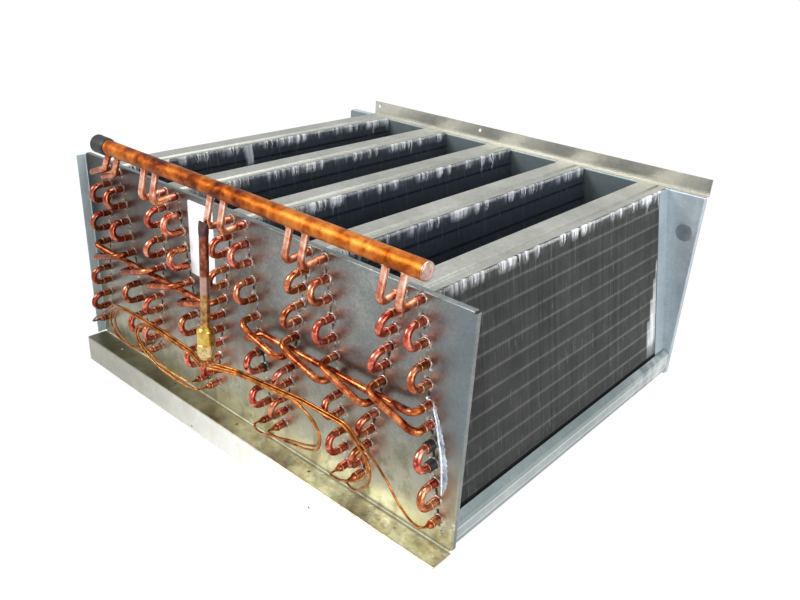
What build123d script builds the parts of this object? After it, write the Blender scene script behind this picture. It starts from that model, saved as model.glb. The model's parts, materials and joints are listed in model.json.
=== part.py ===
from build123d import *
import math
import os

os.makedirs("parts", exist_ok=True)

# Driving sizes in mm, in the front sheet's own frame:
# x runs right from its left edge, y runs back from its front face, z up from its foot crease
WIDTH = 783.0
FRONT_HEIGHT = 323.5
REAR_HEIGHT = 320.0
DEPTH = 607.5
SHEET = 1.2
BEND = 2.0

# Coil layout
APEX_PITCH = 152.4
APEX_COUNT = 5
TUBE_PITCH = 25.4
TUBES = 12
LEAN = 10.15
HALF_TOP = 13.8
TUBE_ONE_Z = 313.6
FIN_DEPTH = 22.0
FIN_MARGIN = 5.7
COMB_TEETH = 64
COMB_GROOVE = 2.0
FIN_START = SHEET + 0.2
FIN_END = DEPTH - 0.2

# Tubes
TUBE_R = 4.76
TUBE_IN = 4.26
BELL_IN = TUBE_R + 0.05
BELL_R = 5.4
BELL_FRONT = -14.0
BELL_FLOOR = -5.5
FIT = 0.1
U_RADIUS = TUBE_PITCH / 2
RETURN_CROWN = -30.0
REAR_LEG = 4.0

# Header, liquid line and distributor
HEADER_R = 11.1
HEADER_WALL = 0.9
HEADER_Y = -29.0
HEADER_Z = 363.0
HEADER_LEFT = 104.0
HEADER_RIGHT = 736.0
LINE_R = 6.35
LINE_Y = -50.0
DIST_X = 376.0
DIST_FLOOR = 121.0
OUTLET_CIRCLE = 7.4
CAP_R = 1.5
REDUCER_KNEE = -14.8
CRIMP = 9.2

COLUMNS = "abcdefghij"
TILTS = {"f": 8.0, "g": 6.0, "h": 2.0, "i": 8.0, "j": 16.0}


def apex_x(number):
    return WIDTH / 2 + (number - (APEX_COUNT - 1) / 2) * APEX_PITCH


def side_of(column):
    return -1 if COLUMNS.index(column) % 2 == 0 else 1


def hole(column, tube):
    """Centre of one tube in the sheet, as (x, z)."""
    run_down = TUBE_PITCH * (tube - 1)
    lean = math.radians(LEAN)
    x = apex_x(COLUMNS.index(column) // 2) + side_of(column) * (HALF_TOP + run_down * math.sin(lean))
    return x, TUBE_ONE_Z - run_down * math.cos(lean)


def at_tube(column, tube):
    """Local frame on a tube: z runs up along the slab."""
    x, z = hole(column, tube)
    return Pos(x, 0, z) * Rot(0, -side_of(column) * LEAN, 0)


def folded(points, side, plane, length, sheet=SHEET):
    """A folded sheet strip: the path is one skin, the sheet lies on the given side."""
    path = FilletPolyline(*points, radius=BEND)
    return extrude(plane * make_face(offset(path, amount=sheet, side=side)), length)


def soft_path(points, largest):
    """Straight runs with the widest tangent arc that fits at each corner."""
    marks = [Vector(*p) for p in points]
    radii = []
    for before, here, after in zip(marks, marks[1:], marks[2:]):
        come = here - before
        leave = after - here
        half = math.radians(come.get_angle(leave)) / 2
        room = 0.49 * min(come.length, leave.length)
        radii.append(min(largest, room / math.tan(half)))
    return FilletPolyline(*marks, radius=radii)


def tube_along(path, outer, inner=0.0):
    section = Circle(outer)
    if inner > 0:
        section = section - Circle(inner)
    return sweep(Plane(path @ 0, z_dir=path % 0) * section, path=path)


def turned(points, axis=Axis.Y):
    """A turned piece: closed outline in (radius, length) spun about the Y axis."""
    return revolve(make_face(Polyline(*points, close=True)), axis=axis)


def half_turn(y, arc):
    """Half ring of tube from a leg at z = 0 to a leg one pitch lower."""
    ring = Plane((0, y, 0), z_dir=(0, 1, 0)) * (Circle(TUBE_R) - Circle(TUBE_IN))
    return revolve(ring, axis=Axis((0, y, -U_RADIUS), (1, 0, 0)), revolution_arc=arc)


def bore(x, z, radius, y_from, y_to):
    return Pos(x, y_from, z) * Rot(-90, 0, 0) * Cylinder(
        radius, y_to - y_from, align=(Align.CENTER, Align.CENTER, Align.MIN)
    )


parts = {}


# Front tube sheet
front = folded(
    [(-35, -44), (-35, 0), (0, 0), (0, FRONT_HEIGHT), (7.7, FRONT_HEIGHT)],
    Side.RIGHT, Plane.YZ, WIDTH - 2 * (BEND + SHEET),
)
front = Pos(BEND + SHEET, 0, 0) * front
foot = folded([(-35, -44), (-35, 0), (-1.4, 0)], Side.RIGHT, Plane.YZ, WIDTH)
wings = folded(
    [(SHEET, -15.5), (SHEET, 0), (WIDTH, 0), (WIDTH, 7.7)],
    Side.LEFT, Plane.XY, FRONT_HEIGHT - 5.0,
)
front_sheet = front + foot + Pos(0, 0, 2.6) * wings
front_bores = [
    bore(*hole(column, tube), TUBE_R + FIT, -1, SHEET + 1)
    for column in COLUMNS
    for tube in range(1, TUBES + 1)
]
for number in range(-2, 3):
    front_bores.append(Pos(WIDTH / 2 + number * 156.6, -16, -0.6) * Cylinder(2.0, 4))
for x in (36, 302.5, 569):
    front_bores.append(bore(x, -38.5, 2.0, -37, -31))
RIVET_X = 17.0
RIVET_Z = 22.0
RIVET_R = 1.6
for x in (RIVET_X, WIDTH - RIVET_X):
    front_bores.append(bore(x, RIVET_Z, RIVET_R + 0.05, -1, 3))
parts["front_tube_sheet"] = front_sheet - front_bores

# Rear tube sheet
PLUG_X = 761.8
PLUG_Z = 257.3
rear = folded(
    [(DEPTH + 8, 0), (DEPTH, 0), (DEPTH, REAR_HEIGHT), (DEPTH + 14, REAR_HEIGHT)],
    Side.RIGHT, Plane.YZ, WIDTH - 2 * (BEND + SHEET),
)
rear_wings = folded(
    [(0, DEPTH + 8), (0, DEPTH), (WIDTH, DEPTH), (WIDTH, DEPTH + 8)],
    Side.LEFT, Plane.XY, REAR_HEIGHT - 5.0,
)
rear_sheet = Pos(BEND + SHEET, 0, 0) * rear + Pos(0, 0, 2.6) * rear_wings
rear_bores = [
    bore(*hole(column, tube), TUBE_R + FIT, DEPTH - 1, DEPTH + 3)
    for column in COLUMNS
    for tube in range(1, TUBES + 1)
]
rear_bores.append(bore(PLUG_X, PLUG_Z, 12.1, DEPTH - 1, DEPTH + 3))
for x in (RIVET_X, WIDTH - RIVET_X):
    rear_bores.append(bore(x, RIVET_Z, RIVET_R + 0.05, DEPTH - 1, DEPTH + 3))
parts["rear_tube_sheet"] = rear_sheet - rear_bores

# Rear top rail on the rear sheet's top flange
RAIL_LEFT = 60.0
RAIL_BACK = 622.7
RAIL_TOP = 347.0
rail = folded(
    [(DEPTH + 2.6, REAR_HEIGHT), (RAIL_BACK, REAR_HEIGHT), (RAIL_BACK, RAIL_TOP)],
    Side.LEFT, Plane.YZ, WIDTH - RAIL_LEFT,
)
rail = Pos(RAIL_LEFT, 0, 0) * rail
parts["rear_top_rail"] = rail - [
    bore(x, 337.5, 3.25, RAIL_BACK - 5, RAIL_BACK + 3) for x in (71.0, 332.0)
]

# Base rails between the sheets, with a riveted tab at each end
RAIL_FACE = WIDTH - SHEET
RAIL_CLEAR = 0.9
base_rail = folded(
    [(772.0, 45.5), (RAIL_FACE, 40.2), (RAIL_FACE, 7.0), (769.8, 7.0)],
    Side.RIGHT, Plane.XZ, -(DEPTH - SHEET - 2 * RAIL_CLEAR),
)
base_rail = Pos(0, SHEET + RAIL_CLEAR, 0) * base_rail
tab_right = RAIL_FACE - 0.9
for y in (SHEET, DEPTH - SHEET):
    tab = Pos((754 + tab_right) / 2, y + SHEET / 2, 18.5) * Box(tab_right - 754, SHEET, 22.0)
    base_rail = base_rail + tab
base_rail = base_rail - [bore(WIDTH - RIVET_X, RIVET_Z, RIVET_R + 0.05, 0, DEPTH + 1)]
parts["base_rail_right"] = base_rail
parts["base_rail_left"] = mirror(base_rail, Plane.YZ.offset(WIDTH / 2))

# Rivets: head outside the sheet, formed tail behind the tab
rivet = turned([
    (0, -1.4), (1.6, -1.25), (2.7, -0.7), (3.2, 0), (RIVET_R, 0),
    (RIVET_R, 2 * SHEET), (2.6, 2 * SHEET), (2.2, 4.6), (0, 4.9),
])
parts["rivets"] = [
    Pos(x, y, RIVET_Z) * Rot(0, 0, turn) * rivet
    for x in (RIVET_X, WIDTH - RIVET_X)
    for y, turn in ((0, 0), (DEPTH + SHEET, 180))
]

# Fin pack: one solid stands for the fins, with grooves on both faces
step = (FIN_END - FIN_START) / COMB_TEETH
right_edge = []
left_edge = []
for tooth in range(COMB_TEETH):
    y = FIN_START + tooth * step
    crest = FIN_DEPTH / 2
    root = crest - (COMB_GROOVE if tooth < COMB_TEETH - 1 else 0.0)
    for offset_y, u in ((0, crest), (step * 0.55, crest), (step * 0.55, root), (step, root)):
        right_edge.append((u, y + offset_y))
        left_edge.append((-u, y + offset_y))
outline = []
for point in right_edge + left_edge[::-1]:
    if not outline or point != outline[-1]:
        outline.append(point)
comb = Pos(0, 0, -TUBE_PITCH * (TUBES - 1) - FIN_MARGIN) * extrude(
    make_face(Polyline(*outline, close=True)), TUBE_PITCH * (TUBES - 1) + 2 * FIN_MARGIN
)
comb = comb - [bore(0, -TUBE_PITCH * n, TUBE_R + 0.05, 0, DEPTH) for n in range(TUBES)]
for column in COLUMNS:
    parts["fin_pack_" + column] = at_tube(column, 1) * comb

# Hairpins: belled at the front, half turn behind the rear sheet
REAR_END = DEPTH + SHEET + REAR_LEG
leg = turned([
    (TUBE_IN, REAR_END), (TUBE_IN, -4.0), (BELL_IN, BELL_FLOOR), (BELL_IN, BELL_FRONT),
    (BELL_R, BELL_FRONT), (BELL_R, -4.6), (TUBE_R, -3.2), (TUBE_R, REAR_END),
])
hairpin = leg + Pos(0, 0, -TUBE_PITCH) * leg + half_turn(REAR_END, -180)
for number in range(APEX_COUNT):
    parts["hairpins_%d" % (number + 1)] = [
        at_tube(column, tube) * hairpin
        for column in COLUMNS[2 * number:2 * number + 2]
        for tube in range(1, TUBES, 2)
    ]

# Return bends on the front, pushed into the bells
BEND_START = RETURN_CROWN + U_RADIUS
short_leg = turned([
    (TUBE_IN, BEND_START), (TUBE_IN, -6.0), (TUBE_R, -6.0), (TUBE_R, BEND_START),
])
return_bend = short_leg + Pos(0, 0, -TUBE_PITCH) * short_leg + half_turn(BEND_START, 180)
for number in range(APEX_COUNT):
    parts["return_bends_%d" % (number + 1)] = [
        at_tube(column, tube) * return_bend
        for column in COLUMNS[2 * number:2 * number + 2]
        for tube in (2, 4, 8, 10)
    ]

# Crossovers from tube 6 of one slab to tube 7 of another
CROSS_Y = -30.5
LONG_Y = -15.5
LONG_Z = (hole("a", 6)[1] + hole("a", 7)[1]) / 2


def crossover(start, finish, sag=0.0):
    xs, zs = hole(start, 6)
    xf, zf = hole(finish, 7)
    way = 1 if xf > xs else -1
    marks = [(xs, -6, zs), (xs, CROSS_Y, zs)]
    if sag > 0:
        marks.append((xs + way * 20, CROSS_Y, zs - 6.6 - sag))
    marks = marks + [(xf, CROSS_Y, zf), (xf, -6, zf)]
    return tube_along(soft_path(marks, 13.0), TUBE_R, TUBE_IN)


def long_crossover(start, finish):
    xs, zs = hole(start, 6)
    xf, zf = hole(finish, 7)
    way = 1 if xf > xs else -1
    marks = [
        (xs, -6, zs), (xs, -29, zs), (xs + way * 42, LONG_Y, LONG_Z),
        (xf - way * 24, LONG_Y, LONG_Z), (xf, -29.5, zf), (xf, -6, zf),
    ]
    return tube_along(soft_path(marks, 11.0), TUBE_R, TUBE_IN)


for start, finish, sag in (
    ("b", "a", 0.0), ("c", "b", 0.0), ("d", "c", 0.0), ("e", "d", 0.0),
    ("f", "g", 4.5), ("g", "h", 3.0), ("h", "i", 0.0), ("i", "j", 0.0),
):
    parts["crossover_%s%s" % (start, finish)] = crossover(start, finish, sag)
for start, finish in (("a", "e"), ("j", "f")):
    parts["crossover_%s%s" % (start, finish)] = long_crossover(start, finish)

# Top caps, one over each apex; they start behind the round of the front sheet's top fold
CAP_Z = 321.2
CAP_START = BEND + 0.1
cap = folded(
    [(-23.3, CAP_Z), (4.0, CAP_Z), (7.4, 318.45), (20.5, 320.75)],
    Side.LEFT, Plane.XZ, -(FIN_END - CAP_START), sheet=1.0,
)
for number in range(APEX_COUNT):
    parts["top_cap_%d" % (number + 1)] = Pos(apex_x(number), CAP_START, 0) * cap

# Bottom strips under the valleys
strip = folded(
    [(51.0, 37.0), (51.0, 30.5), (APEX_PITCH - 51.0, 30.5), (APEX_PITCH - 51.0, 37.0)],
    Side.RIGHT, Plane.XZ, -(FIN_END - FIN_START),
)
parts["bottom_strips"] = [
    Pos(apex_x(number), FIN_START, 0) * strip for number in range(APEX_COUNT - 1)
]

# Suction header with a swaged socket at its left end
HEADER_IN = HEADER_R - HEADER_WALL
SOCKET_IN = HEADER_R + 0.2
SOCKET_R = SOCKET_IN + 0.8
header = turned([
    (HEADER_IN, HEADER_RIGHT), (HEADER_IN, HEADER_LEFT + 17), (SOCKET_IN, HEADER_LEFT + 14),
    (SOCKET_IN, HEADER_LEFT), (SOCKET_R, HEADER_LEFT), (SOCKET_R, HEADER_LEFT + 14.5),
    (HEADER_R, HEADER_LEFT + 17.5), (HEADER_R, HEADER_RIGHT),
])
along_x = Pos(0, HEADER_Y, HEADER_Z) * Rot(0, 0, -90)
header = along_x * header
# Stub knees as (sideways, y, z); the first two stubs lean right to reach the header
STUB_KNEES = {column: [(0, -15.2, TUBE_ONE_Z), (0, -42.0, 309.5)] for column in COLUMNS}
STUB_KNEES["a"] = [(0, -15.2, TUBE_ONE_Z), (0, -31.0, 313.0), (44, -32.0, 329.0)]
STUB_KNEES["b"] = [(0, -15.2, TUBE_ONE_Z), (0, -28.0, 311.5), (40, -31.0, 324.0)]
STUB_REACH = {"a": 61.5, "b": 56.5}
saddle_holes = []
stubs = []
for column in COLUMNS:
    x, z = hole(column, 1)
    marks = [Vector(x, -6, z)] + [Vector(x + dx, y, knee_z) for dx, y, knee_z in STUB_KNEES[column]]
    heart = Vector(x + STUB_REACH.get(column, 0), HEADER_Y, HEADER_Z)
    toward = (heart - marks[-1]).normalized()
    saddle = Cylinder(TUBE_R + 0.05, 18, align=(Align.CENTER, Align.CENTER, Align.MIN))
    saddle_holes.append(Plane(heart, z_dir=toward * -1) * saddle)
    stubs.append(tube_along(soft_path(marks + [heart - toward * 8.6], 12.0), TUBE_R, TUBE_IN))
parts["suction_header"] = header - saddle_holes
parts["header_stubs"] = stubs
end_cap = turned([
    (0, HEADER_RIGHT + 2.0), (9.4, HEADER_RIGHT + 2.0), (10.6, HEADER_RIGHT + 1.5),
    (HEADER_R, HEADER_RIGHT + 0.4), (HEADER_R, HEADER_RIGHT), (HEADER_IN - 0.05, HEADER_RIGHT),
    (HEADER_IN - 0.05, HEADER_RIGHT - 9), (9.2, HEADER_RIGHT - 9), (9.2, HEADER_RIGHT), (0, HEADER_RIGHT),
])
parts["header_end_cap"] = along_x * end_cap
plug = turned([
    (0, HEADER_LEFT + 13), (SOCKET_IN - 0.5, HEADER_LEFT + 13), (SOCKET_IN - 0.05, HEADER_LEFT + 11),
    (SOCKET_IN - 0.05, HEADER_LEFT), (13.4, HEADER_LEFT), (13.6, HEADER_LEFT - 0.8),
    (13.6, HEADER_LEFT - 2.6), (12.8, HEADER_LEFT - 3.5), (9.6, HEADER_LEFT - 3.5),
    (9.0, HEADER_LEFT - 1.2), (0, HEADER_LEFT - 1.2),
])
parts["header_plug"] = along_x * plug

# Liquid line: leans a little, top end pinched flat
LINE_TOP = Vector(385.0, LINE_Y, 322.0)
LINE_FOOT = Vector(DIST_X + 0.4, LINE_Y, 164.5)
LINE_IN = LINE_R - 0.7
PINCH = 18.0
PINCH_SPREAD = 2.4
PINCH_THICK = 2.6
line_axis = Plane(LINE_FOOT, z_dir=LINE_TOP - LINE_FOOT)
line_length = (LINE_TOP - LINE_FOOT).length
round_length = line_length - PINCH
line = turned([
    (LINE_IN, 0), (LINE_R, 0), (LINE_R, round_length), (LINE_R + PINCH_SPREAD, line_length),
    (0, line_length), (0, round_length - 2), (LINE_IN, round_length - 2),
])
line = Rot(90, 0, 0) * line
slope = (LINE_R - PINCH_THICK / 2) / PINCH
flat = make_face(Polyline(
    (LINE_R - 0.05 + slope, round_length - 1), (20, round_length - 1), (20, line_length + 1),
    (LINE_R - 0.05 - slope * (PINCH + 1), line_length + 1), close=True,
))
flat = extrude(Plane.YZ * flat, 20, both=True)
parts["liquid_line"] = line_axis * (line - [flat, Rot(0, 0, 180) * flat])

# Distributor: domed shoulder, body, skirt and a short cone with ten outlets
dome = [
    (math.sin(math.radians(a)) * 12.4, 163.0 + math.cos(math.radians(a)) * 8.6)
    for a in (36, 48, 60, 72, 84)
]
dist = turned([(LINE_R + 0.06, 173.5), (7.3, 173.5)] + dome + [
    (12.4, 160.0), (12.4, 145.5), (11.9, 144.6), (12.8, 143.6), (12.8, 127.0),
    (9.7, DIST_FLOOR), (3.0, DIST_FLOOR), (3.0, 122.5), (0, 122.5), (0, 133.0), (5.6, 138.0),
    (5.6, 164.0), (LINE_R + 0.06, 164.0),
])
dist = Pos(DIST_X, LINE_Y, 0) * Rot(90, 0, 0) * dist


def outlet(angle):
    turn = math.radians(angle)
    return DIST_X + OUTLET_CIRCLE * math.cos(turn), LINE_Y + OUTLET_CIRCLE * math.sin(turn)


OUTLET_ANGLES = {
    "a": 180, "b": 216, "c": 144, "d": 252, "e": 108,
    "j": 0, "i": -36, "h": 36, "g": -72, "f": 72,
}
outlet_bores = [
    Pos(*outlet(angle), DIST_FLOOR - 1) * Cylinder(
        CAP_R + 0.05, 9, align=(Align.CENTER, Align.CENTER, Align.MIN)
    )
    for angle in OUTLET_ANGLES.values()
]
socket = line_axis * Cylinder(LINE_R + 0.05, 20, align=(Align.CENTER, Align.CENTER, Align.MIN))
parts["distributor"] = dist - outlet_bores - socket

# Capillary reducers: a short tube in the bell, crimped down onto the capillary
reducers = []
reducer_tips = {}
knee_ball = Pos(0, REDUCER_KNEE, 0) * Sphere(TUBE_R)
straight = turned([(0, -6.5), (TUBE_R, -6.5), (TUBE_R, REDUCER_KNEE), (0, REDUCER_KNEE)])
crimp = turned([
    (0, 0), (TUBE_R, 0), (TUBE_R, -2.4), (3.6, -4.6), (2.5, -6.0), (2.3, -CRIMP), (0, -CRIMP),
])
reducer_hollow = turned([(0, -6.0), (3.9, -6.0), (3.9, REDUCER_KNEE - 1.5), (0, REDUCER_KNEE - 1.5)])
crimp_hollow = turned([
    (0, 0), (3.9, 0), (3.9, -2.0), (CAP_R + 0.05, -5.2), (CAP_R + 0.05, -CRIMP - 1), (0, -CRIMP - 1),
])
for column in COLUMNS:
    x, z = hole(column, TUBES)
    tilt = TILTS.get(column, 0.0)
    front_half = Pos(0, REDUCER_KNEE, 0) * Rot(-tilt, 0, 0)
    body = straight + front_half * crimp
    if tilt > 0:
        body = body + knee_ball
    body = body - [reducer_hollow, front_half * crimp_hollow]
    reducers.append(Pos(x, 0, z) * body)
    slope = math.radians(tilt)
    tip = Vector(x, REDUCER_KNEE - CRIMP * math.cos(slope), z + CRIMP * math.sin(slope))
    reducer_tips[column] = (tip, Vector(0, -math.cos(slope), math.sin(slope)))
parts["capillary_reducers"] = reducers

# Capillaries: down out of the distributor, along in a ribbon, then a loop to tube 12
# Each list holds the corners of one run after it leaves its outlet
RUNS = {
    "a": [(108.0,), (330, -43, 110), (250, -42, 113), (193, -42, 114), (150, -42, 112),
          (116, -42, 107), (84, -39, 84), (42, -37, 54)],
    "b": [(105.0,), (330, -46, 108), (250, -45.3, 111.5), (193, -45.3, 112.5), (150, -45.3, 110.5),
          (122, -46, 104), (110, -47, 86), (110, -46, 66), (122, -43, 49)],
    "c": [(104.0,), (330, -42.5, 106.3), (250, -42, 109.8), (193, -42, 110.8), (150, -42, 108.5),
          (130, -43, 102), (119, -44, 88), (119, -44, 71), (133, -44, 57), (151, -41, 46)],
    "d": [(100.5,), (330, -46, 104), (250, -45.3, 108.2), (222, -45.5, 108.5), (203, -47, 102),
          (193, -48, 90), (194, -48, 78), (208, -47, 66), (242, -44, 52), (272, -39, 43)],
    "e": [(99.0,), (330, -42.5, 102.3), (250, -42, 106.5), (208, -42, 106.5), (187, -43.5, 98),
          (179, -45, 84), (185, -45, 69), (210, -46, 55), (241, -44, 43), (272, -41, 37.5),
          (304, -39, 36)],
    "f": [(107.0,), (436, -41, 114), (540, -41, 125.5), (572, -42, 118), (592, -43, 106),
          (599, -44, 92), (592, -44, 79), (570, -43.5, 70), (536, -43, 60), (496, -42, 46),
          (468, -38, 37)],
    "g": [(108.5,), (436, -44.3, 115.7), (556, -44.3, 129.0), (590, -46, 117), (605, -48, 99),
          (600, -48, 78), (572, -46, 66), (530, -42, 54), (502, -35, 44)],
    "h": [(112.0,), (436, -41, 117.3), (560, -41, 131.0), (640, -41, 132.5), (672, -43, 108),
          (682, -44, 92), (676, -44, 76), (658, -44, 61), (632, -42.5, 48)],
    "i": [(113.0,), (436, -44.3, 119.0), (560, -44.3, 132.7), (640, -44.3, 134.5), (678, -46, 110),
          (691, -48, 92), (685, -48, 72), (664, -45, 51), (647, -37, 41)],
    "j": [(116.0,), (436, -41, 120.7), (560, -41, 134.5), (640, -41, 136.2), (694, -42, 104),
          (712, -42, 88), (728, -40, 66), (744, -38, 51)],
}
capillaries = {}
for column, run in RUNS.items():
    x, y = outlet(OUTLET_ANGLES[column])
    tip, heading = reducer_tips[column]
    marks = [(x, y, 127.0), (x, y, run[0][0])] + run[1:]
    reach = 8.5 if column in "bcdg" else (7.5 if column == "i" else 11.5)
    marks = marks + [tip + heading * reach, tip - heading * 3.5]
    capillaries[column] = tube_along(soft_path(marks, 30.0), CAP_R)
parts["capillaries_left"] = [capillaries[column] for column in "abcde"]
parts["capillaries_right"] = [capillaries[column] for column in "fghij"]

# Blank label and the round plug in the rear sheet
LABEL_X = 306.5
LABEL_Z = 259.5
parts["label"] = Pos(LABEL_X, 0, LABEL_Z) * Rot(90, 0, 0) * extrude(RectangleRounded(58, 113, 4), 0.25)
button = turned([
    (0, -1.6), (9.0, -1.6), (12.5, -1.5), (14.2, -0.9), (14.8, 0), (12.0, 0),
    (12.0, SHEET), (12.5, 2.4), (10.8, 5.0), (10.0, 5.0), (10.6, 0), (0, 0),
])
parts["hole_plug_button"] = Pos(PLUG_X, DEPTH, PLUG_Z) * button

# Move the finished coil so that the origin is the middle of its foot
solids = {}
for name, shape in parts.items():
    pieces = shape if isinstance(shape, list) else [shape]
    solids[name] = [s for piece in pieces for s in piece.solids()]
boxes = [solid.bounding_box() for group in solids.values() for solid in group]
low = [min(tuple(box.min)[axis] for box in boxes) for axis in range(3)]
high = [max(tuple(box.max)[axis] for box in boxes) for axis in range(3)]
shift = Pos(-(low[0] + high[0]) / 2, -(low[1] + high[1]) / 2, -low[2])
print("shift", [round(v, 3) for v in tuple(shift.position)])
print("size", [round(b - a, 3) for a, b in zip(low, high)])
for name, group in solids.items():
    placed = [shift * solid for solid in group]
    shape = placed[0] if len(placed) == 1 else Compound(children=placed)
    print(name, len(placed), round(sum(s.volume for s in placed) / 1000, 1), "cm3")
    export_step(shape, "parts/" + name + ".step")
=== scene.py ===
import json
import math
import random

import bmesh
import bpy
from mathutils import Matrix, Vector


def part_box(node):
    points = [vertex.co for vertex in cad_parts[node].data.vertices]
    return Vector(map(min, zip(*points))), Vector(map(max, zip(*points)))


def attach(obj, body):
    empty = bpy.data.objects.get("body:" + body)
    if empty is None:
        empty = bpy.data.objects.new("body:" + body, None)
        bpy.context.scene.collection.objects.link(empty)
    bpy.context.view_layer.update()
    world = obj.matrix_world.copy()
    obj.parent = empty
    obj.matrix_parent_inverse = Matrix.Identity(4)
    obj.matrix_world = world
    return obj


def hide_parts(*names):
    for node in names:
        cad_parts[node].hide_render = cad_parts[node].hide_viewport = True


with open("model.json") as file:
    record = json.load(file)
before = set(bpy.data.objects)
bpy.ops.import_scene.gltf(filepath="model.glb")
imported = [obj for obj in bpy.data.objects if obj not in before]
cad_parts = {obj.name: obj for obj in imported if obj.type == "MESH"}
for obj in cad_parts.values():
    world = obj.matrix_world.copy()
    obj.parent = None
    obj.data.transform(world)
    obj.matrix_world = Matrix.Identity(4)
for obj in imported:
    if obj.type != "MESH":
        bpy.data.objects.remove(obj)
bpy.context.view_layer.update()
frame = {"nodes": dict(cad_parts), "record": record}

# Sizes in mm in the front sheet's own frame, the same as in the CAD source
MM = 0.001
COLUMNS = "abcdefghij"
APEX_PITCH = 152.4
APEX_COUNT = 5
LEAN = math.radians(10.15)
HALF_TOP = 13.8
TUBE_PITCH = 25.4
TUBES = 12
TUBE_ONE_Z = 313.6
TUBE_R = 4.76
BELL_FRONT = -14.0
SHEET = 1.2
DEPTH = 607.5
FOOT_REACH = 35.0
LIP_DROP = 44.0
HEADER_R = 11.1
HEADER_Y = -29.0
HEADER_Z = 363.0

# Fins: the row of tubes shows a little above the tubes' own height on a slab
FIN_DEPTH = 22.0
FIN_MARGIN = 5.7
FIN_START = 1.4
FIN_END = 607.3
FIN_COUNT = 331
FIN_THICK = 0.16
FIN_PITCH = (FIN_END - FIN_START - FIN_THICK) / (FIN_COUNT - 1)
SLAB_HEIGHT = TUBE_PITCH * (TUBES - 1) + 2 * FIN_MARGIN
ROW_LIFT = 5.2

# Folds over the rear ends of the outer slabs, and the rubber skirt of the header's plug
FOLD_START = 574.5
FOLD_RUN = (-4.0, 281.0)
FOLD_CLEAR = 0.3
FOLD_THICK = 0.8
SKIRT_R = 13.4
SKIRT_LONG = 30.0

sheet_low, sheet_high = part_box("front_tube_sheet")
WIDTH = (sheet_high.x - sheet_low.x) / MM
ORIGIN = sheet_low + Vector((0, FOOT_REACH, LIP_DROP)) * MM


def at(x, y, z):
    """A point of the front sheet's frame, in mm, as a place in the row frame."""
    return ORIGIN + Vector((x, y, z)) * MM


def apex_x(number):
    return WIDTH / 2 + (number - (APEX_COUNT - 1) / 2) * APEX_PITCH


def side_of(column):
    return -1 if COLUMNS.index(column) % 2 == 0 else 1


def hole(column, tube):
    """Where a tube goes through the sheets: x and z in mm."""
    run_down = TUBE_PITCH * (tube - 1)
    off_apex = side_of(column) * (HALF_TOP + run_down * math.sin(LEAN))
    return apex_x(COLUMNS.index(column) // 2) + off_apex, TUBE_ONE_Z - run_down * math.cos(LEAN)


def on_tube(column, tube, y):
    """The place on a tube's axis at the depth y."""
    x, z = hole(column, tube)
    return at(x, y, z)


class Sock:
    """One output of a node: sums and products on it add Math nodes."""

    def __init__(self, net, socket):
        self.net = net
        self.socket = socket

    def of(self, name):
        return Sock(self.net, self.socket.node.outputs[name])

    def __add__(self, other):
        return self.net.sum("ADD", self, other)

    def __radd__(self, other):
        return self.net.sum("ADD", other, self)

    def __sub__(self, other):
        return self.net.sum("SUBTRACT", self, other)

    def __rsub__(self, other):
        return self.net.sum("SUBTRACT", other, self)

    def __mul__(self, other):
        return self.net.sum("MULTIPLY", self, other)

    def __truediv__(self, other):
        return self.net.sum("DIVIDE", self, other)

    def __pow__(self, other):
        return self.net.sum("POWER", self, other)

    def __neg__(self):
        return self.net.sum("MULTIPLY", self, -1.0)

    def abs(self):
        return self.net.sum("ABSOLUTE", self, 0.0)

    def most(self, other):
        return self.net.sum("MAXIMUM", self, other)

    def held(self):
        """The value kept between 0 and 1."""
        return self.net.node("ShaderNodeClamp", {}, [self, 0.0, 1.0])

    def fraction(self):
        return self.net.node("ShaderNodeMath", {"operation": "FRACT"}, [self])

    def ramp(self, start, end, low=0.0, high=1.0):
        """Smooth step from low at start to high at end."""
        first, last = (start, end) if start < end else (end, start)
        values = [self, first, last] + ([low, high] if start < end else [high, low])
        return self.net.node("ShaderNodeMapRange", {"interpolation_type": "SMOOTHSTEP"}, values)


class Net:
    """A node tree under construction."""

    def __init__(self, tree):
        self.tree = tree

    def feed(self, socket, value):
        if isinstance(value, Sock):
            self.tree.links.new(value.socket, socket)
        else:
            socket.default_value = value

    def node(self, kind, settings=None, values=(), out=0):
        made = self.tree.nodes.new(kind)
        for name, value in (settings or {}).items():
            if name == "stops":
                stops = made.color_ramp.elements
                while len(stops) < len(value):
                    stops.new(0.5)
                for stop, (place, colour) in zip(stops, value):
                    stop.position = place
                    stop.color = colour
            else:
                setattr(made, name, value)
        pairs = values.items() if isinstance(values, dict) else enumerate(values)
        for name, value in pairs:
            self.feed(made.inputs[name], value)
        return Sock(self, made.outputs[out]) if made.outputs else made

    def sum(self, operation, first, second):
        return self.node("ShaderNodeMath", {"operation": operation}, [first, second])

    def vector(self, x, y, z):
        return self.node("ShaderNodeCombineXYZ", {}, [x, y, z])

    def blend(self, factor, first, second):
        """Colour mix from first to second."""
        return self.node("ShaderNodeMix", {"data_type": "RGBA"}, {0: factor, 6: first, 7: second}, out=2)

    def flat_noise(self, x, y, detail):
        """Noise on a plane that the two values span."""
        return self.node("ShaderNodeTexNoise", {"noise_dimensions": "2D"}, {
            "Vector": self.vector(x, y, 0.0), "Scale": 1.0, "Detail": detail,
        })

    def dice(self, x, y):
        """A random value for each pair of values."""
        return self.node("ShaderNodeTexWhiteNoise", {"noise_dimensions": "2D"}, {
            "Vector": self.vector(x, y, 0.0),
        }, out="Value")


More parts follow.
